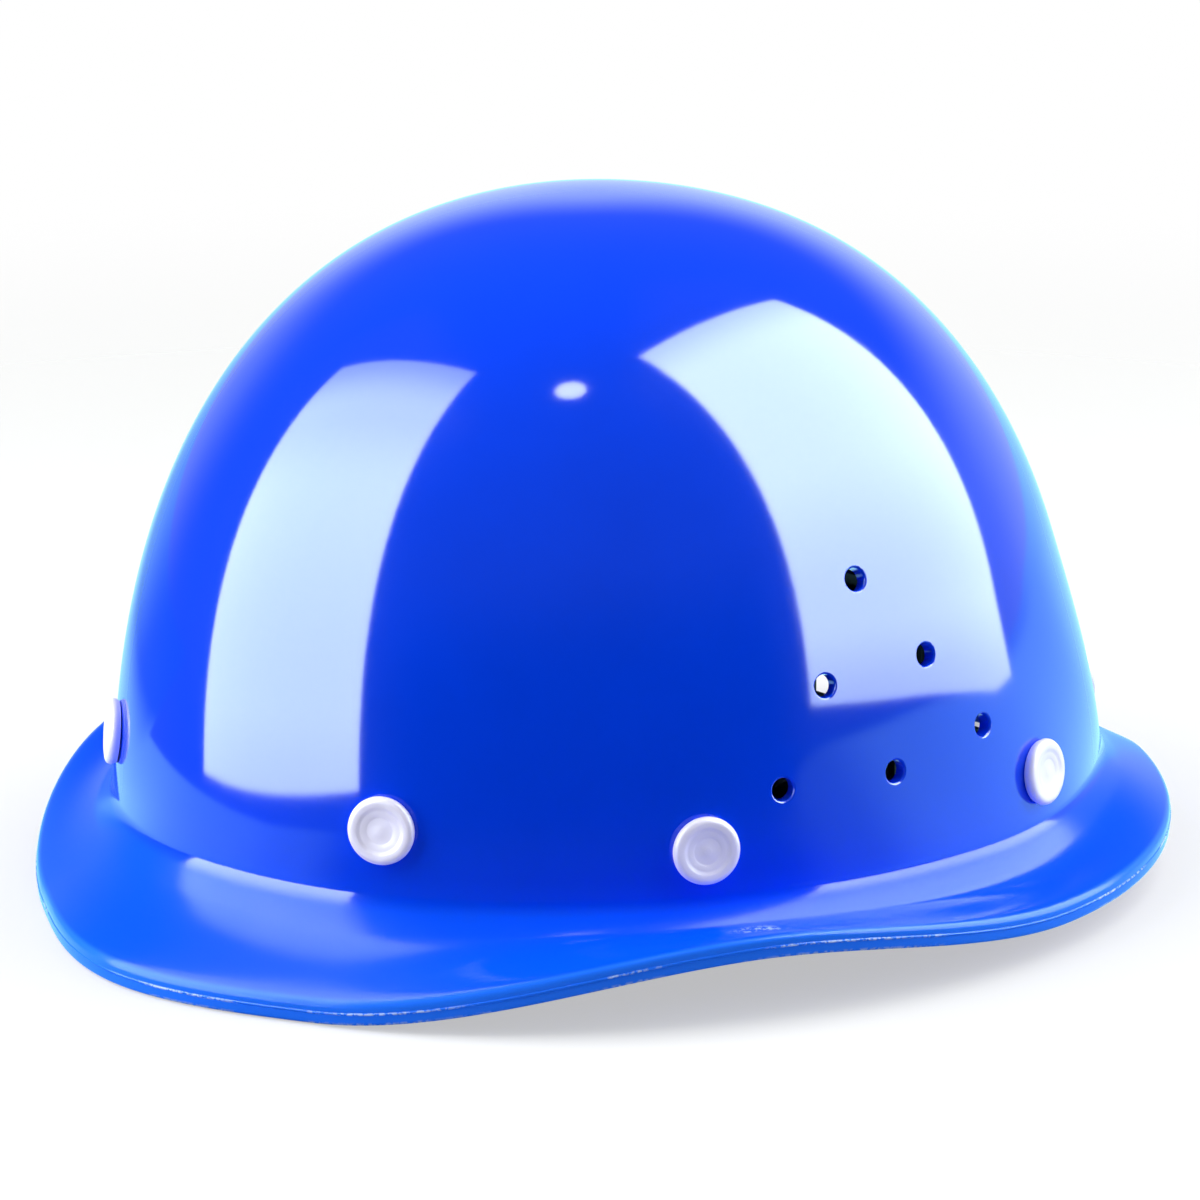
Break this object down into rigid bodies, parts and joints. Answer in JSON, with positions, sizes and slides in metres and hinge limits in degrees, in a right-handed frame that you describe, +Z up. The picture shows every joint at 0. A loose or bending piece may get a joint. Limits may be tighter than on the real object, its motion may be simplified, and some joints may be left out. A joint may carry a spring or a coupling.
{
  "type": "safety helmet",
  "caption": "Domed work helmet with a rolled brim, side vents, riveted webbing cradle, ratchet headband and folding chin strap.",
  "frame": {"origin": "on the resting plane, under the middle of the shell's bounding box", "axes": "+Z up, -Y the way the peak faces, +X the wearer's left"},
  "size_m": [0.2514, 0.2802, 0.1558],
  "materials": {
    "shell": "glossy blue pigmented moulding",
    "white_nylon": "semi-matt white nylon",
    "black_plastic": "semi-matt black moulding",
    "acetal": "natural acetal",
    "spring_steel": "bright spring steel",
    "webbing": "black woven polyester",
    "padding": "black foam-backed cloth"
  },
  "bodies": {
    "helmet": {"shell": "shell", "rivets": "white_nylon", "rivet_washers": "white_nylon", "hanger_front_left": "white_nylon", "hanger_front_right": "white_nylon", "hanger_temple_left": "white_nylon", "hanger_temple_right": "white_nylon", "hanger_ear_left": "white_nylon", "hanger_ear_right": "white_nylon", "hanger_rear_left": "white_nylon", "hanger_rear_right": "white_nylon", "crown_strap_1": "webbing", "crown_strap_2": "webbing", "crown_strap_3": "webbing", "crown_strap_4": "webbing", "crown_pad": "padding", "headband": "black_plastic", "sweatband": "padding", "nape_pad": "padding", "ratchet_base": "black_plastic", "ratchet_cover": "black_plastic", "detent_spring": "spring_steel", "chin_pins": "white_nylon"},
    "knob": {"pinion": "acetal", "knob": "black_plastic"},
    "tail_left": {"tail_left": "black_plastic"},
    "tail_right": {"tail_right": "black_plastic"},
    "chin_strap": {"chin_clip_left": "white_nylon", "chin_clip_right": "white_nylon", "chin_strap_left": "webbing", "chin_strap_right": "webbing", "buckle_socket": "black_plastic", "strap_slider": "black_plastic"},
    "buckle_plug": {"buckle_plug": "black_plastic", "chin_strap_tail": "webbing"}
  },
  "joints": [
    {"name": "knob_spin", "type": "hinge", "parent": "helmet", "child": "knob", "pos_m": [0, 0.0985, 0.036], "axis": [0, 1, 0], "range_deg": [-150, 150]},
    {"name": "tail_left_slide", "type": "hinge", "parent": "helmet", "child": "tail_left", "pos_m": [0, 0.0085, 0.036], "axis": [0, 0, 1], "range_deg": [-12, 12]},
    {"name": "tail_right_slide", "type": "hinge", "parent": "helmet", "child": "tail_right", "pos_m": [0, 0.0085, 0.036], "axis": [0, 0, 1], "range_deg": [-12, 12]},
    {"name": "chin_strap_swing", "type": "hinge", "parent": "helmet", "child": "chin_strap", "pos_m": [0, -0.0125, 0.033], "axis": [-1, 0, 0], "range_deg": [0, 110]},
    {"name": "buckle_release", "type": "slide", "parent": "chin_strap", "child": "buckle_plug", "axis": [-1, 0, 0], "range_m": [0, 0.02]}
  ],
  "couplings": [
    {"joint": "tail_left_slide", "follows": "knob_spin", "ratio": -0.078692},
    {"joint": "tail_right_slide", "follows": "knob_spin", "ratio": 0.076979}
  ]
}
